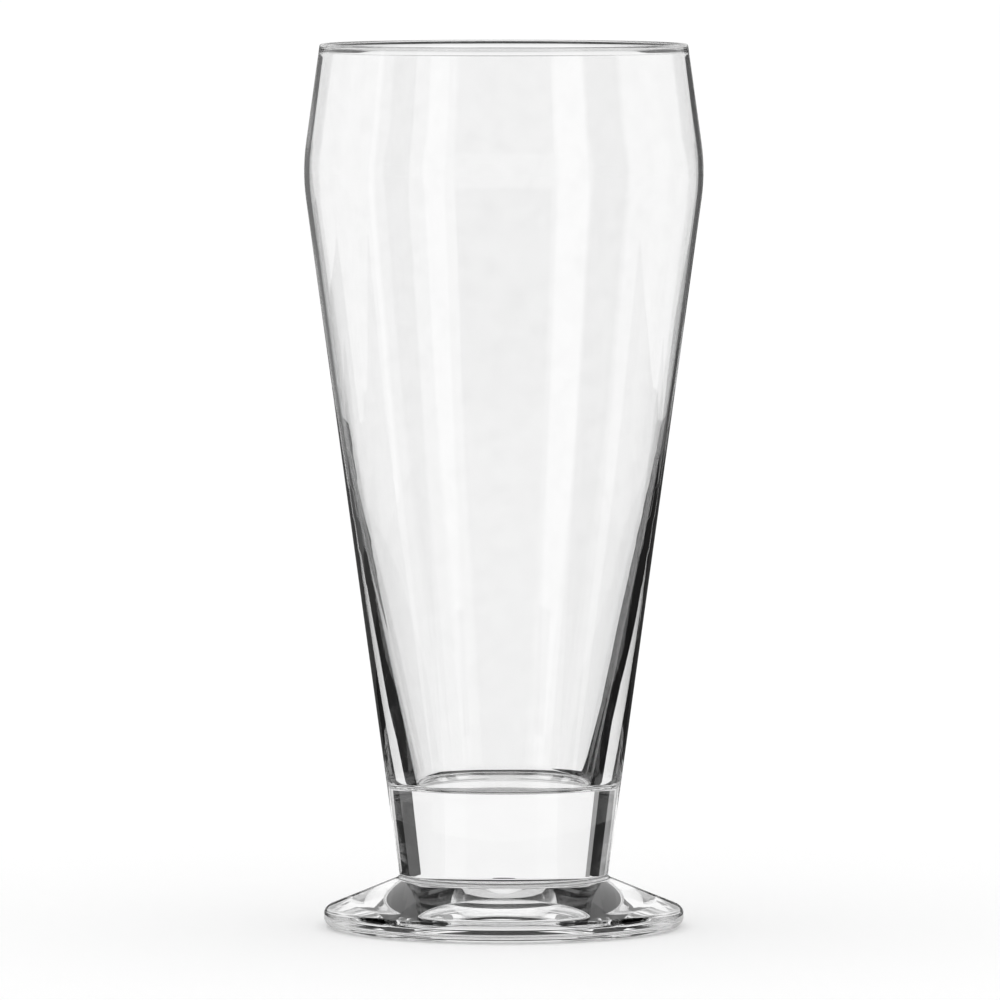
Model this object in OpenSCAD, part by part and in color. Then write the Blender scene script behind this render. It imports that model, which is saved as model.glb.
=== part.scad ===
// Footed ale glass: a tall bowl on a short solid stem and a spreading foot, all clear glass.
// Millimetres, +Z up. The origin is on the table, under the middle of the foot.

/* [Glass] */
// Height from the table to the rim
glass_h = 170; // [157:1:187]

/* [Bowl outside] */
// Outside diameter at the rim
rim_d = 70.7; // [66:0.1:76]
// Outside diameter at the shoulder, before its corner is rounded
shoulder_d = 77.5; // [72:0.1:84]
// How far the shoulder lies below the rim
shoulder_drop = 24.4; // [17:0.1:32]
// Radius that rounds the shoulder outside
shoulder_round = 40; // [10:1:60]

/* [Bowl inside] */
// Wall at the shoulder and above it, measured level
wall_t = 0.95; // [0.7:0.05:1.6]
// Thickness of the rounded rim
rim_t = 1.3; // [1:0.05:1.8]
// Height over which the wall swells inwards to the rim
lip_h = 1.5; // [1.2:0.1:6]
// Height above the table at which the wall starts to thicken
thicken_z = 85.3; // [71:0.1:106]
// Radius that eases the inside into its steeper lower wall
thicken_round = 500; // [100:10:800]
// Height of the cavity floor above the table
floor_z = 27.2; // [25:0.1:40]
// Diameter at which the inner wall would meet the floor, before that corner is rounded
floor_d = 34; // [30:0.1:38]
// Radius that rounds the corner between the inner wall and the floor
floor_round = 1.5; // [0.5:0.1:12]
// Glass under the cavity floor, down to the seal with the stem
floor_t = 5; // [2:0.1:8]

/* [Foot] */
// Diameter of the foot
foot_d = 69.4; // [60:0.1:80]
// Thickness of the foot at its edge
edge_t = 3.4; // [2:0.1:4.4]
// Diameter of the neck, where the foot's slope would meet the stem
neck_d = 40.2; // [35:0.1:46]
// Height of the neck above the table
neck_z = 9.4; // [7.5:0.1:12]
// Radius that rounds the corner between the foot's slope and its collar
neck_round = 1.2; // [0.4:0.1:1.6]
// Height of the collar that carries the neck up to the seal with the stem
collar_h = 1.6; // [1:0.1:3]
// Inner diameter of the ring that the glass stands on
ring_d = 54; // [44:0.5:56]
// Depth of the hollow inside that ring, at its middle
hollow_h = 1.8; // [0.6:0.1:2.6]

/* [Finish] */
// Largest turn from one step of a rounded corner to the next, in degrees
step_angle = 4; // [2:1:10]
// Colour of the glass
glass_colour = "azure"; // ["azure", "white", "lightcyan"]

/* [Hidden] */
$fn = 180;

shoulder_z = glass_h - shoulder_drop;
bowl_seal_z = floor_z - floor_t;
foot_seal_z = neck_z + collar_h;

// One straight taper runs outside from the neck to the shoulder, through the foot's collar, the stem and the bowl.
taper = (shoulder_d - neck_d) / 2 / (shoulder_z - neck_z);
function outside_r(z) = neck_d / 2 + taper * (z - neck_z);

// Inside radius at the foot of the lip, where the wall starts to swell
lip_r = rim_d / 2 + (shoulder_d - rim_d) / 2 * lip_h / shoulder_drop - wall_t;

// A corner is [radius, height, rounding]. The functions below take a list of them, which is closed.
function spot(corner) = [corner[0], corner[1]];
function turned(list, i) = list[(i + len(list)) % len(list)];
function side(list, i) = spot(turned(list, i + 1)) - spot(turned(list, i));
function heading(v) = atan2(v[1], v[0]);
function turn(list, i) =
    let (t = heading(side(list, i)) - heading(side(list, i - 1)))
    t > 180 ? t - 360 : t < -180 ? t + 360 : t;

// Length that a corner's rounding takes from each of its two sides
function reach(list, i) = turned(list, i)[2] * abs(tan(turn(list, i) / 2));

// Share of its rounding that a corner can have, so that two roundings on one side never meet
function share(list, i) =
    let (before = reach(list, i) + reach(list, i - 1))
    let (after = reach(list, i) + reach(list, i + 1))
    min(1, norm(side(list, i - 1)) / max(before, 1e-6), norm(side(list, i)) / max(after, 1e-6));

// The points of one corner: the corner itself, or its rounding as an arc
function corner_points(list, i) =
    let (corner = turned(list, i))
    let (round_r = corner[2] * share(list, i))
    let (bend = turn(list, i))
    let (hand = bend < 0 ? -1 : 1)
    let (start = heading(side(list, i - 1)) - hand * 90)
    let (from = spot(corner) - reach(list, i) * share(list, i) * side(list, i - 1) / norm(side(list, i - 1)))
    let (centre = from - round_r * [cos(start), sin(start)])
    let (steps = max(1, ceil(abs(bend) / step_angle)))
    round_r == 0
        ? [spot(corner)]
        : [for (k = [0 : steps]) centre + round_r * [cos(start + bend * k / steps), sin(start + bend * k / steps)]];

function rounded(list) = [for (i = [0 : len(list) - 1]) each corner_points(list, i)];

// A shape turned about the glass's axis from its outline
module turned_glass(outline) {
    color(glass_colour, 0.35)
        rotate_extrude()
            polygon(outline);
}

// Blown bowl, up from its seal: the outside, the rim and then the inside down to the floor
module bowl() {
    turned_glass(rounded([
        [0, bowl_seal_z, 0],
        [outside_r(bowl_seal_z), bowl_seal_z, 0],
        [shoulder_d / 2, shoulder_z, shoulder_round],
        [rim_d / 2, glass_h, rim_t * 0.45],
        [rim_d / 2 - rim_t, glass_h, rim_t * 0.45],
        [lip_r, glass_h - lip_h, 4],
        [shoulder_d / 2 - wall_t, shoulder_z, shoulder_round - wall_t],
        [outside_r(thicken_z) - wall_t, thicken_z, thicken_round],
        [floor_d / 2, floor_z, floor_round],
        [0, floor_z, 0],
    ]));
}

// Solid stem between the two seals
module stem() {
    turned_glass([
        [0, foot_seal_z],
        [outside_r(foot_seal_z), foot_seal_z],
        [outside_r(bowl_seal_z), bowl_seal_z],
        [0, bowl_seal_z],
    ]);
}

// Pressed foot, out from the middle of its hollow: the ring, the edge, the slope and the collar
module foot() {
    ring_r = ring_d / 2;
    hollow_r = (ring_r * ring_r + hollow_h * hollow_h) / 2 / hollow_h;
    hollow_angle = asin(ring_r / hollow_r);
    hollow_steps = ceil(hollow_angle);
    hollow = [
        for (k = [0 : hollow_steps])
            let (a = hollow_angle * k / hollow_steps)
            [hollow_r * sin(a), hollow_h - hollow_r * (1 - cos(a)), 0]
    ];
    turned_glass(rounded(concat(hollow, [
        [foot_d / 2, 0, edge_t / 2],
        [foot_d / 2, edge_t, edge_t / 2],
        [neck_d / 2, neck_z, neck_round],
        [outside_r(foot_seal_z), foot_seal_z, 0],
        [0, foot_seal_z, 0],
    ])));
}

bowl();
stem();
foot();
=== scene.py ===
import math

import bpy
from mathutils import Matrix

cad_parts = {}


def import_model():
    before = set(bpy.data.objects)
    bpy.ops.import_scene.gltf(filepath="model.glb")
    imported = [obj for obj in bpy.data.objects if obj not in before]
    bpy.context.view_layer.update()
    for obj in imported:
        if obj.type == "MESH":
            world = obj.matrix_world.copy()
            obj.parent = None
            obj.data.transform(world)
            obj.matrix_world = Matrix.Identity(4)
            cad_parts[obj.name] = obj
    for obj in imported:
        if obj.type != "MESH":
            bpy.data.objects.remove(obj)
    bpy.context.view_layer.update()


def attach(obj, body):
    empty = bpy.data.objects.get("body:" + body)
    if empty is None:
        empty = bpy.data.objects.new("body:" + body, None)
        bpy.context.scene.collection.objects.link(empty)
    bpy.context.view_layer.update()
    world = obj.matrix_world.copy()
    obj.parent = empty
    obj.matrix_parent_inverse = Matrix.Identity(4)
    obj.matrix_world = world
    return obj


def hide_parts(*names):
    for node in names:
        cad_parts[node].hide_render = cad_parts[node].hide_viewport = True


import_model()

# Sizes of the glass, in millimetres, the same as the CAD model's
MM = 0.001
GLASS_H = 170
RIM_R = 35.35
RIM_T = 1.3
RIM_ROUND = 0.45 * RIM_T
LIP_H = 1.5
LIP_ROUND = 4
SHOULDER_R = 38.75
SHOULDER_DROP = 24.4
SHOULDER_Z = GLASS_H - SHOULDER_DROP
SHOULDER_ROUND = 40
WALL_T = 0.95
THICKEN_Z = 85.3
THICKEN_ROUND = 500
CAVITY_R = 17
CAVITY_Z = 27.2
CAVITY_ROUND = 1.5
FLOOR_T = 5
SEAL_BOWL = CAVITY_Z - FLOOR_T
NECK_R = 20.1
NECK_Z = 9.4
NECK_ROUND = 1.2
COLLAR_H = 1.6
SEAL_FOOT = NECK_Z + COLLAR_H
FOOT_R = 34.7
EDGE_T = 3.4
RING_R = 27
HOLLOW_H = 1.8
TAPER = (SHOULDER_R - NECK_R) / (SHOULDER_Z - NECK_Z)
LIP_R = RIM_R + (SHOULDER_R - RIM_R) * LIP_H / SHOULDER_DROP - WALL_T

# How finely the outlines are drawn, in millimetres and degrees, and turned
ARC_TURN = 2.5
ARC_STEPS_LEAST = 6
HOLLOW_STEPS = 24
LONG_RUN = 3
RUN_END = 0.6
RUN_STEP = 8
TURN_STEPS = 360
SMOOTH_TURN = 20
START_SIZE = 0.01
MERGE_GAP = 0.000002
SEAL_GAP = 0.01
LEVEL_FACE = 0.99

# Finish of the glass, with the rim's band in millimetres and the depth of its waves in metres. The rim's
# band is darkened as painted shade, which draws the dark line along the rim
GLASS_IOR = 1.5
CLEAR_GREY = 0.975
FILM_GREY = 0.955
FILM_ROUGH = 0.015
FILM_SCALE = 240
FILM_DETAIL = 4
FILM_BAND = (0.4, 0.75)
# Grey of the rim's band: painted shade for the dark line along the rim
RIM_PAINTED_SHADE_GREY = 0.8
RIM_ROUGH = 0.12
RIM_BAND = (168.8, 169.4)
WAVE_SCALE = 70
WAVE_DETAIL = 1
WAVE_DRAWN = 0.3
WAVE_STRENGTH = 0.08
WAVE_DEPTH = 0.0005
GLASS_BOUNCES = 32
SHINE_BOUNCES = 16

# Places of the floor and the cards, in metres and degrees
STUDIO_SIZE = 200
STUDIO_LEVEL = -0.0002
STUDIO_GREY = 0.9
STUDIO_GLOW = 0.12
UNDER_FOOT = -0.0001
LEVELS = {"solid": 0.0003, "near_solid": 0.0003, "far_solid": 0.0003, "bounced": 0.0004, "cavity": 0.0005}
REACHES = {"near_solid": ("LESS_THAN", 0.08), "far_solid": ("GREATER_THAN", 0.42)}
SHINE_LEVEL = 0.0006
SHEET_LEVEL = 0.0008
SHINE_NEAR = 0.045
SHINE_LOW = 0.33
SHINE_SIDE = 0.42
SHINE_FAR = 0.68
SHINE_EDGE = 1.3
SHINE_AWAY = 4
SHINE_TOP = 5
EDGE_NEAR = 0.2
EDGE_TOP = 0.4
STANDING_AWAY = 3
FAR_AWAY = 40
FAR_TOP = 1.4
CEILING = 1.6
CARD_TURN = 6
SIDES = {"right": 1, "left": -1}
AT_LEAST_ONE = 0.5
OVER_TWO = 2.5

# The camera, in metres, and in millimetres for its lens
LENS = 393.5
SENSOR = 36
CAMERA_X = -0.00073
CAMERA_AWAY = 2.1
CAMERA_Z = 0.2163
CAMERA_FALL = 0.1341


def outside_r(z):
    # The one straight taper that runs from the neck to the shoulder
    return NECK_R + TAPER * (z - NECK_Z)


def heading(a, b):
    return math.atan2(b[1] - a[1], b[0] - a[0])


def rounded_outline(corners):
    # Points of an outline whose corners are radius, height and rounding, in millimetres
    points = [corners[0][:2]]
    for before, corner, after in zip(corners, corners[1:], corners[2:]):
        rounding = corner[2]
        if rounding == 0:
            points.append(corner[:2])
            continue
        arrive = heading(before, corner)
        bend = (heading(corner, after) - arrive + math.pi) % (2 * math.pi) - math.pi
        hand = 1 if bend > 0 else -1
        reach = rounding * abs(math.tan(bend / 2))
        start = arrive - hand * math.pi / 2
        first_r = corner[0] - reach * math.cos(arrive)
        first_z = corner[1] - reach * math.sin(arrive)
        centre_r = first_r - rounding * math.cos(start)
        centre_z = first_z - rounding * math.sin(start)
        steps = max(ARC_STEPS_LEAST, math.ceil(abs(math.degrees(bend)) / ARC_TURN))
        for k in range(steps + 1):
            angle = start + bend * k / steps
            points.append((centre_r + rounding * math.cos(angle), centre_z + rounding * math.sin(angle)))
    points.append(corners[-1][:2])
    return points


def supported(points):
    # Long straight runs get points near both ends and along them, so that the shading stays true
    full = [points[0]]
    for a, b in zip(points, points[1:]):
        length = math.dist(a, b)
        if length > LONG_RUN:
            middle = length - 2 * RUN_END
            inner = max(1, math.ceil(middle / RUN_STEP))
            for k in range(inner + 1):
                t = (RUN_END + k * middle / inner) / length
                full.append((a[0] + t * (b[0] - a[0]), a[1] + t * (b[1] - a[1])))
        full.append(b)
    return full


def turned_piece(name, points):
    # One vertex is drawn along the outline and then spun about the glass's axis
    bpy.ops.object.select_all(action="DESELECT")
    bpy.ops.mesh.primitive_plane_add(size=START_SIZE, location=(0, 0, 0))
    piece = bpy.context.object
    piece.name = name
    piece.data.name = name
    bpy.ops.object.mode_set(mode="EDIT")
    bpy.ops.mesh.select_all(action="SELECT")
    bpy.ops.mesh.merge(type="CENTER")
    bpy.ops.transform.translate(value=(points[0][0] * MM, 0, points[0][1] * MM))
    for a, b in zip(points, points[1:]):
        step = ((b[0] - a[0]) * MM, 0, (b[1] - a[1]) * MM)
        bpy.ops.mesh.extrude_vertices_move(TRANSFORM_OT_translate={"value": step})
    bpy.ops.mesh.select_all(action="SELECT")
    bpy.ops.mesh.spin(steps=TURN_STEPS, angle=2 * math.pi, center=(0, 0, 0), axis=(0, 0, 1))
    bpy.ops.mesh.select_all(action="SELECT")
    bpy.ops.mesh.remove_doubles(threshold=MERGE_GAP)
    bpy.ops.mesh.normals_make_consistent(inside=False)
    bpy.ops.object.mode_set(mode="OBJECT")
    bpy.ops.object.shade_smooth_by_angle(angle=math.radians(SMOOTH_TURN))
    return piece


def finish_piece(piece, node, glass, seal, seal_heights):
    # Glass all over, and the clear fused seal where the next gather joins
    piece.data.materials.append(glass)
    piece.data.materials.append(seal)
    for face in piece.data.polygons:
        height = face.center.z / MM
        level = abs(face.normal.z) > LEVEL_FACE
        if level and any(abs(height - z) < SEAL_GAP for z in seal_heights):
            face.material_index = 1
    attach(piece, "root")
    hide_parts(node)


def bowl_outline():
    # Up the outside from the seal, over the rim and down the inside to the cavity's floor
    return rounded_outline([
        (0, SEAL_BOWL, 0),
        (outside_r(SEAL_BOWL), SEAL_BOWL, 0),
        (SHOULDER_R, SHOULDER_Z, SHOULDER_ROUND),
        (RIM_R, GLASS_H, RIM_ROUND),
        (RIM_R - RIM_T, GLASS_H, RIM_ROUND),
        (LIP_R, GLASS_H - LIP_H, LIP_ROUND),
        (SHOULDER_R - WALL_T, SHOULDER_Z, SHOULDER_ROUND - WALL_T),
        (outside_r(THICKEN_Z) - WALL_T, THICKEN_Z, THICKEN_ROUND),
        (CAVITY_R, CAVITY_Z, CAVITY_ROUND),
        (0, CAVITY_Z, 0),
    ])


def stem_outline():
    return [
        (0, SEAL_FOOT),
        (outside_r(SEAL_FOOT), SEAL_FOOT),
        (outside_r(SEAL_BOWL), SEAL_BOWL),
        (0, SEAL_BOWL),
    ]


def foot_outline():
    # Out from the middle of the hollow, round the edge, up the slope and the collar
    hollow_round = (RING_R * RING_R + HOLLOW_H * HOLLOW_H) / 2 / HOLLOW_H
    hollow_angle = math.asin(RING_R / hollow_round)
    hollow = []
    for k in range(HOLLOW_STEPS + 1):
        angle = hollow_angle * k / HOLLOW_STEPS
        drop = hollow_round * (1 - math.cos(angle))
        hollow.append((hollow_round * math.sin(angle), HOLLOW_H - drop, 0))
    return rounded_outline(hollow + [
        (FOOT_R, 0, EDGE_T / 2),
        (FOOT_R, EDGE_T, EDGE_T / 2),
        (NECK_R, NECK_Z, NECK_ROUND),
        (outside_r(SEAL_FOOT), SEAL_FOOT, 0),
        (0, SEAL_FOOT, 0),
    ])


def new_material(name):
    material = bpy.data.materials.new(name)
    material.use_nodes = True
    return material, material.node_tree.nodes["Principled BSDF"]


def rim_band_group():
    # How far a spot lies up the rounded rim, from 0 below it to 1 on it; it masks the rim's painted shade
    # and its roughness
    group = bpy.data.node_groups.new("rim_band", "ShaderNodeTree")
    group.interface.new_socket("Band", in_out="OUTPUT", socket_type="NodeSocketFloat")
    nodes = group.nodes
    spot = nodes.new("ShaderNodeTexCoord")
    axes = nodes.new("ShaderNodeSeparateXYZ")
    band = nodes.new("ShaderNodeMapRange")
    band.interpolation_type = "SMOOTHSTEP"
    band.inputs["From Min"].default_value = RIM_BAND[0] * MM
    band.inputs["From Max"].default_value = RIM_BAND[1] * MM
    out = nodes.new("NodeGroupOutput")
    group.links.new(spot.outputs["Object"], axes.inputs[0])
    group.links.new(axes.outputs["Z"], band.inputs["Value"])
    group.links.new(band.outputs["Result"], out.inputs["Band"])
    return group


def glass_marks_group():
    # Slow waves left by the blowing, drawn out along the glass, and a faint uneven film from washing
    group = bpy.data.node_groups.new("glass_marks", "ShaderNodeTree")
    group.interface.new_socket("Waves", in_out="OUTPUT", socket_type="NodeSocketFloat")
    group.interface.new_socket("Film", in_out="OUTPUT", socket_type="NodeSocketFloat")
    nodes = group.nodes
    spot = nodes.new("ShaderNodeTexCoord")
    drawn = nodes.new("ShaderNodeMapping")
    drawn.inputs["Scale"].default_value = (1, 1, WAVE_DRAWN)
    waves = nodes.new("ShaderNodeTexNoise")
    waves.inputs["Scale"].default_value = WAVE_SCALE
    waves.inputs["Detail"].default_value = WAVE_DETAIL
    marks = nodes.new("ShaderNodeTexNoise")
    marks.inputs["Scale"].default_value = FILM_SCALE
    marks.inputs["Detail"].default_value = FILM_DETAIL
    film = nodes.new("ShaderNodeMapRange")
    film.interpolation_type = "SMOOTHSTEP"
    film.inputs["From Min"].default_value = FILM_BAND[0]
    film.inputs["From Max"].default_value = FILM_BAND[1]
    out = nodes.new("NodeGroupOutput")
    group.links.new(spot.outputs["Object"], drawn.inputs["Vector"])
    group.links.new(drawn.outputs["Vector"], waves.inputs["Vector"])
    group.links.new(waves.outputs["Fac"], out.inputs["Waves"])
    group.links.new(spot.outputs["Object"], marks.inputs["Vector"])
    group.links.new(marks.outputs["Fac"], film.inputs["Value"])
    group.links.new(film.outputs["Result"], out.inputs["Film"])
    return group


def mixed_grey(nodes, grey):
    # A mix that ends in this grey; its start and its factor are set by the caller
    mix = nodes.new("ShaderNodeMix")
    mix.data_type = "RGBA"
    mix.inputs["B"].default_value = (grey, grey, grey, 1)
    return mix


def clear_glass():
    material, shader = new_material("clear_glass")
    shader.inputs["IOR"].default_value = GLASS_IOR
    shader.inputs["Transmission Weight"].default_value = 1
    nodes = material.node_tree.nodes
    links = material.node_tree.links
    rim = nodes.new("ShaderNodeGroup")
    rim.node_tree = rim_band_group()
    marks = nodes.new("ShaderNodeGroup")
    marks.node_tree = glass_marks_group()
    wall = mixed_grey(nodes, FILM_GREY)
    wall.inputs["A"].default_value = (CLEAR_GREY, CLEAR_GREY, CLEAR_GREY, 1)
    links.new(marks.outputs["Film"], wall.inputs["Factor"])
    # The rim's band is tinted darker: painted shade that draws the dark line along the rim
    rim_painted_shade = mixed_grey(nodes, RIM_PAINTED_SHADE_GREY)
    links.new(wall.outputs["Result"], rim_painted_shade.inputs["A"])
    links.new(rim.outputs["Band"], rim_painted_shade.inputs["Factor"])
    links.new(rim_painted_shade.outputs["Result"], shader.inputs["Base Color"])
    rim_rough = nodes.new("ShaderNodeMath")
    rim_rough.operation = "MULTIPLY"
    rim_rough.inputs[1].default_value = RIM_ROUGH
    links.new(rim.outputs["Band"], rim_rough.inputs[0])
    rough = nodes.new("ShaderNodeMath")
    rough.operation = "MULTIPLY_ADD"
    rough.inputs[1].default_value = FILM_ROUGH
    links.new(marks.outputs["Film"], rough.inputs[0])
    links.new(rim_rough.outputs["Value"], rough.inputs[2])
    links.new(rough.outputs["Value"], shader.inputs["Roughness"])
    bump = nodes.new("ShaderNodeBump")
    bump.inputs["Strength"].default_value = WAVE_STRENGTH
    bump.inputs["Distance"].default_value = WAVE_DEPTH
    links.new(marks.outputs["Waves"], bump.inputs["Height"])
    links.new(bump.outputs["Normal"], shader.inputs["Normal"])
    return material


def fused_seal():
    # Two gathers that are fused leave no face between them, so none shows here
    material, shader = new_material("fused_seal")
    shader.inputs["Alpha"].default_value = 0
    return material


def matt_material(name, grey, glow):
    material, shader = new_material(name)
    shader.inputs["Base Color"].default_value = (grey, grey, grey, 1)
    shader.inputs["Roughness"].default_value = 1
    shader.inputs["Specular IOR Level"].default_value = 0
    shader.inputs["Emission Color"].default_value = (1, 1, 1, 1)
    shader.inputs["Emission Strength"].default_value = glow
    return material, shader


def math_node(tree, operation, value, limit):
    # One sum of a linked value and a limit, which is a number or another linked value
    node = tree.nodes.new("ShaderNodeMath")
    node.operation = operation
    node.use_clamp = True
    tree.links.new(value, node.inputs[0])
    if isinstance(limit, float):
        node.inputs[1].default_value = limit
    else:
        tree.links.new(limit, node.inputs[1])
    return node.outputs["Value"]


def card_material(name, grey, light, glow):
    # Matt card. It can stop all light, or only light of one kind that comes through the glass:
    # bounced inside its wall, straight through the cavity, or straight through solid glass,
    # which has left the glass close by for near_solid and far away for far_solid.
    # Light that the floor has scattered passes it, so that it leaves no shade on the floor.
    material, shader = matt_material(name, grey, glow)
    tree = material.node_tree
    path = tree.nodes.new("ShaderNodeLightPath").outputs
    scattered = math_node(tree, "GREATER_THAN", path["Diffuse Depth"], AT_LEAST_ONE)
    bounced = math_node(tree, "GREATER_THAN", path["Glossy Depth"], AT_LEAST_ONE)
    if light == "all":
        shown = math_node(tree, "LESS_THAN", scattered, AT_LEAST_ONE)
    elif light == "bounced":
        shown = math_node(tree, "SUBTRACT", bounced, scattered)
    else:
        compare = "GREATER_THAN" if light == "cavity" else "LESS_THAN"
        walls = math_node(tree, compare, path["Transmission Depth"], OVER_TWO)
        straight = math_node(tree, "SUBTRACT", walls, bounced)
        shown = math_node(tree, "SUBTRACT", straight, scattered)
    if light in REACHES:
        compare, reach = REACHES[light]
        in_reach = math_node(tree, compare, path["Ray Length"], reach)
        shown = math_node(tree, "MULTIPLY", shown, in_reach)
    tree.links.new(shown, shader.inputs["Alpha"])
    return material


def place_card(name, spots, faces, grey, light="all", through=True, shine=False, glow=0):
    # A card that the camera does not see: it shows through the glass, or as a shine on it, or both
    mesh = bpy.data.meshes.new(name)
    mesh.from_pydata(spots, [], faces)
    card = bpy.data.objects.new(name, mesh)
    bpy.context.collection.objects.link(card)
    card.data.materials.append(card_material(name, grey, light, glow))
    card.visible_camera = False
    card.visible_diffuse = False
    card.visible_shadow = False
    card.visible_transmission = through
    card.visible_glossy = shine


def arc(away, bearings):
    # Points on a circle round the glass, in metres, with bearings counted from behind it towards the right
    first, last = bearings
    steps = max(1, math.ceil(abs(last - first) / CARD_TURN))
    turns = [math.radians(first + (last - first) * k / steps) for k in range(steps + 1)]
    return [(away * math.sin(t), away * math.cos(t)) for t in turns]


def strips(first, second):
    # Faces between two rows of as many points each, by their first numbers
    count = second - first
    return [[first + k, first + k + 1, second + k + 1, second + k] for k in range(count - 1)]


def level_band(bearings, reach, level):
    # Spots and faces of a level band round the glass, between two distances from its axis
    inner = arc(reach[0], bearings)
    outer = arc(reach[1], bearings)
    return [(x, y, level) for x, y in inner + outer], strips(0, len(inner))


def floor_card(name, corners, grey, light):
    # A flat card on the floor, its corners in millimetres
    flat = [(x * MM, y * MM, LEVELS[light]) for x, y in corners]
    place_card(name, flat, [list(range(len(flat)))], grey, light)


def far_card(name, corners, bearings, grey, light):
    # A sheet that runs far away behind the glass and then up a little; its near corners are in millimetres
    level = LEVELS[light]
    far = arc(FAR_AWAY, bearings)
    flat = [(x * MM, y * MM, level) for x, y in corners] + [(x, y, level) for x, y in far]
    faces = [list(range(len(flat)))] + strips(len(corners), len(flat))
    place_card(name, flat + [(x, y, FAR_TOP) for x, y in far], faces, grey, light)


def sheet_card(name, bearings, reach, grey):
    # A sheet on the floor, which shows only as a shine on the glass
    spots, faces = level_band(bearings, reach, SHEET_LEVEL)
    place_card(name, spots, faces, grey, through=False, shine=True)


def ring_card(name, bearings, radii, grey, glow=0):
    # A part of a ring under the foot or round it, in millimetres, for light that the glass bounces there;
    # its glow, where given, is painted light from something that is no lamp
    spots, faces = level_band(bearings, [r * MM for r in radii], UNDER_FOOT)
    place_card(name, spots, faces, grey, light="bounced", glow=glow)


def ceiling_card(name, bearings, reach, grey):
    # A part of the ceiling high over the glass
    spots, faces = level_band(bearings, reach, CEILING)
    place_card(name, spots, faces, grey, shine=True)


def standing_card(name, bearings, heights, grey, light="all", away=STANDING_AWAY):
    # A card that stands away from the glass, between two heights
    edge = arc(away, bearings)
    spots = [(x, y, z) for z in heights for x, y in edge]
    place_card(name, spots, strips(0, len(edge)), grey, light)


def shine_card(name, bearings, grey, near=SHINE_NEAR, top=SHINE_TOP, through=False):
    # A tall card with a sheet on the floor before it, which shows as a shine on the glass
    near_edge = arc(near, bearings)
    far_edge = arc(SHINE_AWAY, bearings)
    count = len(far_edge)
    spots = [(x, y, SHINE_LEVEL) for x, y in near_edge + far_edge] + [(x, y, top) for x, y in far_edge]
    faces = strips(0, count) + strips(count, 2 * count)
    place_card(name, spots, faces, grey, light="bounced", through=through, shine=True)


def floor():
    bpy.ops.object.select_all(action="DESELECT")
    bpy.ops.mesh.primitive_plane_add(size=STUDIO_SIZE, location=(0, 0, STUDIO_LEVEL))
    plane = bpy.context.object
    plane.name = "pale_floor"
    material, _ = matt_material("pale_floor", STUDIO_GREY, STUDIO_GLOW)
    plane.data.materials.append(material)


def wall_cards():
    # Dark cards on the floor, which draw the lines along the wall and round the cavity
    right = [(62, -10), (62, 45), (68, 60), (90, 85), (97, 115), (96, 150), (92, 195)]
    right += [(90, 260), (105, 360), (118, 500), (360, 480), (500, 330), (600, 0), (600, -10)]
    floor_card("wall_right", right, 0.01, "bounced")
    right_mid = [(118, 500), (195, 750), (300, 1200), (640, 1100), (560, 700), (360, 480)]
    floor_card("wall_right_mid", right_mid, 0.05, "bounced")
    far_card("wall_right_far", [(640, 1100), (300, 1200), (340, 2000)], (8, 30), 0.12, "bounced")
    left = [(-62, -10), (-62, 50), (-80, 85), (-84, 115), (-97, 150), (-104, 220)]
    left += [(-400, 220), (-600, 0), (-600, -10)]
    floor_card("wall_left", left, 0.02, "bounced")
    left_mid = [(-104, 220), (-110, 300), (-125, 380), (-190, 500), (-240, 750)]
    left_mid += [(-600, 750), (-700, 400), (-400, 220)]
    floor_card("wall_left_mid", left_mid, 0.1, "bounced")
    left_far = [(-600, 750), (-240, 750), (-310, 1200), (-350, 2000)]
    far_card("wall_left_far", left_far, (-8, -30), 0.2, "bounced")
    back = [(-62, 56), (62, 56), (45, 105), (62, 235), (-62, 235), (-45, 105)]
    floor_card("wall_back", back, 0.02, "bounced")
    cavity_right = [(15, 28), (18, 95), (45, 105), (62, 120), (80, 150), (88, 195), (94, 260)]
    cavity_right += [(103, 360), (122, 500), (170, 750), (200, 900), (420, 900), (300, 500)]
    cavity_right += [(220, 300), (170, 200), (140, 100), (100, 28)]
    floor_card("cavity_right", cavity_right, 0.01, "cavity")
    cavity_left = [(-100, 190), (-105, 360), (-135, 500), (-150, 750), (-165, 900)]
    cavity_left += [(-520, 900), (-323, 560), (-215, 372), (-125, 217)]
    floor_card("cavity_left", cavity_left, 0.05, "cavity")
    floor_card("cavity_back", [(-20, 36), (15, 36), (15, 66), (-20, 62)], 0.02, "cavity")
    standing_card("lens_back", (-22, 22), heights=(1.25, 2), grey=0.02, light="bounced")
    for side, hand in SIDES.items():
        standing_card("corner_" + side, (22 * hand, 72 * hand), heights=(1.25, 2), grey=0.02)


def rim_cards():
    # What the thick lip bends into view: its dark lines behind and at both ends
    floor_card("rim_floor", [(240, 380), (430, 960), (-430, 960), (-240, 380)], 0.06, "far_solid")
    far_card("rim_back", [(160, 960), (-160, 960)], (-4, 4), 0.06, "solid")
    for side, hand in SIDES.items():
        standing_card("rim_end_" + side, (2.6 * hand, 14 * hand), (0.42, 0.85), 0.15, "solid")


def stem_cards():
    # The upright bands at both sides of the stem, and the line at the neck
    floor_card("neck_back", [(26, 36), (75, 110), (-75, 110), (-26, 36)], 0.06, "near_solid")
    standing_card("stem_right_grey", (40, 54), heights=(0.26, 0.46), grey=0.14, light="solid")
    standing_card("stem_right", (54, 76), heights=(0.3, 0.47), grey=0.02, light="solid")
    standing_card("stem_left_pale", (-39, -43), heights=(0.2, 0.46), grey=0.35, light="solid")
    standing_card("stem_left", (-43, -55.5), heights=(0.26, 0.46), grey=0.02, light="solid")
    standing_card("stem_left_grey", (-55.5, -68), heights=(0.3, 0.47), grey=0.4, light="solid")


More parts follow.
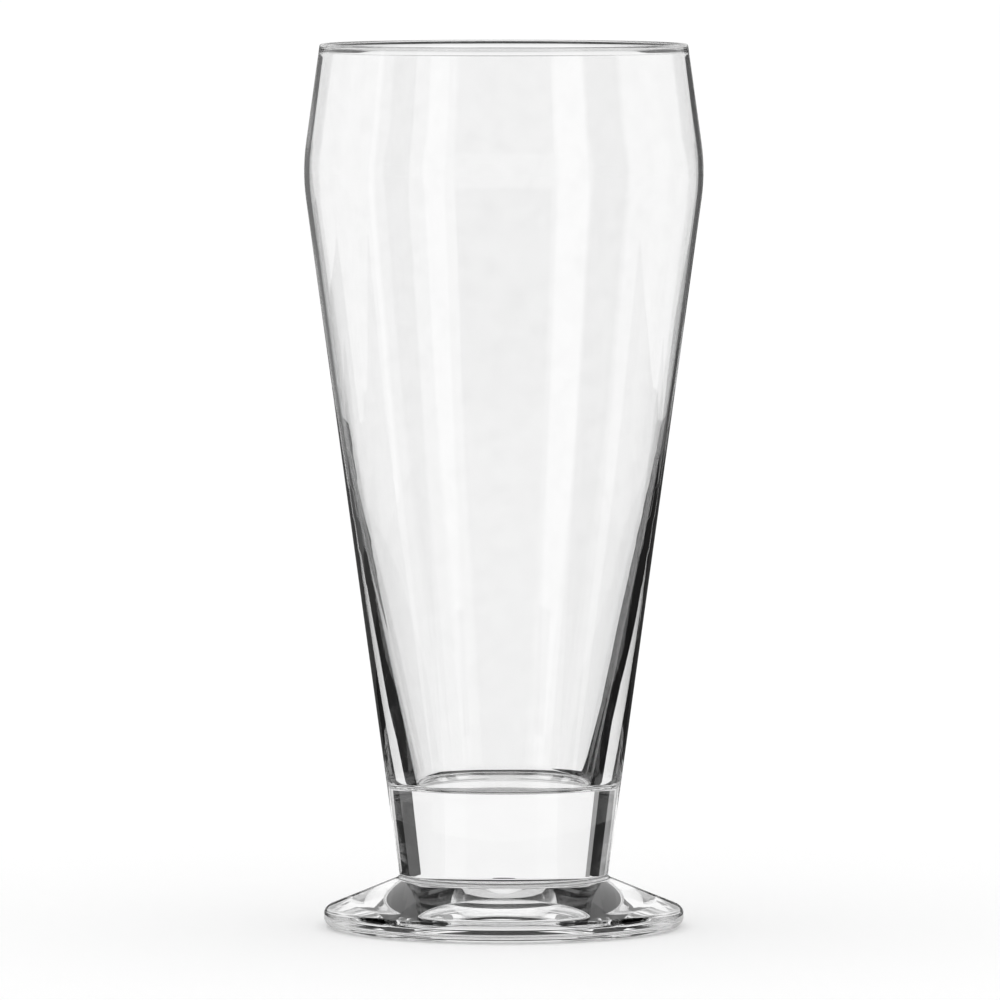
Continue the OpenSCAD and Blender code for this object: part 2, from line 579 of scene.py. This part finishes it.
def foot_cards():
    # The dark and pale patches that show in the foot. The rings under the foot are painted light and
    # shade: the dark ones are painted shadow under the foot, and the glowing pale ones are painted light
    # on the floor under it, standing in for light that comes through the glass
    # Painted shadow on the floor under the foot, seen through the glass
    ring_card("under_foot_painted_shadow", (40, 320), radii=(15.5, 22), grey=0.03)
    # Glowing pale ring: painted light on the floor under the foot
    ring_card("under_foot_painted_light", (-35, 35), radii=(19, 25), grey=0.9, glow=0.7)
    # Painted contact shadow just inside the foot's standing ring
    ring_card("under_foot_painted_contact_shadow", (-35, 35), radii=(25, 28.4), grey=0.02)
    # Glowing pale rings under the standing ring: painted light on the floor under the foot
    ring_card("under_foot_painted_light_ring", (35, 325), radii=(26.4, 31), grey=0.9, glow=0.5)
    ring_card("under_foot_painted_light_ring_back", (-35, 35), radii=(28.4, 31), grey=0.9, glow=0.5)
    for side, hand in SIDES.items():
        ring_card("foot_side_" + side, (20 * hand, 62 * hand), radii=(36, 62), grey=0.02)
        ring_card("foot_back_" + side, (5 * hand, 20 * hand), radii=(35.5, 42), grey=0.02)
    ring_card("foot_back_line", (-8, 8), radii=(43, 52), grey=0.1)
    ring_card("front_floor", (140, 220), radii=(80, 125), grey=0.03)
    standing_card("foot_edge_back", (-30, 30), heights=(0.95, 1.66), grey=0.12, light="solid")
    standing_card("front_dark", (150, 210), heights=(0.75, 4.5), grey=0.04, light="bounced", away=3.2)


def shine_cards():
    # The soft upright shines on the wall, and the dark outline at its edges
    low = (SHINE_NEAR, SHINE_LOW)
    far = (SHINE_LOW, SHINE_FAR)
    soft = (SHINE_LOW, SHINE_SIDE)
    soft_edge = (SHINE_FAR, SHINE_EDGE)
    shine_card("edge_right", (2, 28), grey=0.06, near=EDGE_NEAR, top=EDGE_TOP)
    shine_card("edge_left", (-2, -28), grey=0.1, near=EDGE_NEAR, top=EDGE_TOP)
    sheet_card("low_shine_right", (28, 124), low, grey=0.02)
    sheet_card("low_shine_right_far", (28, 56), far, grey=0.04)
    sheet_card("low_shine_right_soft", (56, 84), soft, grey=0.3)
    sheet_card("low_shine_left", (-28, -120), low, grey=0.02)
    sheet_card("low_shine_left_far", (-28, -56), far, grey=0.12)
    sheet_card("low_shine_left_soft", (-56, -76), soft, grey=0.3)
    for side, hand in SIDES.items():
        sheet_card("edge_shine_" + side + "_soft", (28 * hand, 40 * hand), soft_edge, grey=0.3)
    shine_card("shine_front", (150, 214), grey=0.6, through=True)
    shine_card("shine_right_front", (102, 130), grey=0.3, through=True)
    shine_card("shine_right", (84, 102), grey=0.45)
    shine_card("shine_right_side", (28, 84), grey=0.6, near=SHINE_SIDE)
    shine_card("shine_left_front", (-99.5, -124), grey=0.3, through=True)
    shine_card("shine_left", (-76, -96), grey=0.45)
    shine_card("shine_left_side", (-28, -76), grey=0.6, near=SHINE_SIDE)


def ceiling_cards():
    # A dark ceiling with a pale part behind the glass
    ceiling_card("dark_ceiling", (50, 310), reach=(0.34, 2.6), grey=0.02)
    ceiling_card("dark_overhead", (-50, 50), reach=(0.34, 0.84), grey=0.02)
    ceiling_card("pale_ceiling", (-36, 36), reach=(0.84, 2.05), grey=0.75)
    for side, hand in SIDES.items():
        ceiling_card("dark_ceiling_" + side, (36 * hand, 50 * hand), reach=(0.78, 2.05), grey=0.03)


def camera():
    data = bpy.data.cameras.new("camera")
    data.lens = LENS
    data.sensor_width = SENSOR
    cam = bpy.data.objects.new("camera", data)
    bpy.context.collection.objects.link(cam)
    cam.location = (CAMERA_X, -CAMERA_AWAY, CAMERA_Z)
    pitch = math.atan2(CAMERA_FALL, CAMERA_AWAY)
    cam.rotation_euler = (math.pi / 2 - pitch, 0, 0)
    bpy.context.scene.camera = cam


def world():
    scene = bpy.context.scene
    scene.world = bpy.data.worlds.new("white_studio")
    scene.world.use_nodes = True
    back = scene.world.node_tree.nodes["Background"]
    back.inputs["Color"].default_value = (1, 1, 1, 1)
    back.inputs["Strength"].default_value = 1


camera()
world()
floor()
wall_cards()
rim_cards()
stem_cards()
foot_cards()
shine_cards()
ceiling_cards()

glass = clear_glass()
seal = fused_seal()
bowl = turned_piece("blown_bowl", supported(bowl_outline()))
stem = turned_piece("solid_stem", supported(stem_outline()))
foot = turned_piece("pressed_foot", supported(foot_outline()))
finish_piece(bowl, "bowl", glass, seal, [SEAL_BOWL])
finish_piece(stem, "stem", glass, seal, [SEAL_BOWL, SEAL_FOOT])
finish_piece(foot, "foot", glass, seal, [SEAL_FOOT])

scene = bpy.context.scene
scene.view_settings.view_transform = "Standard"
scene.cycles.max_bounces = GLASS_BOUNCES
scene.cycles.transmission_bounces = GLASS_BOUNCES
scene.cycles.glossy_bounces = SHINE_BOUNCES
scene.cycles.transparent_max_bounces = GLASS_BOUNCES
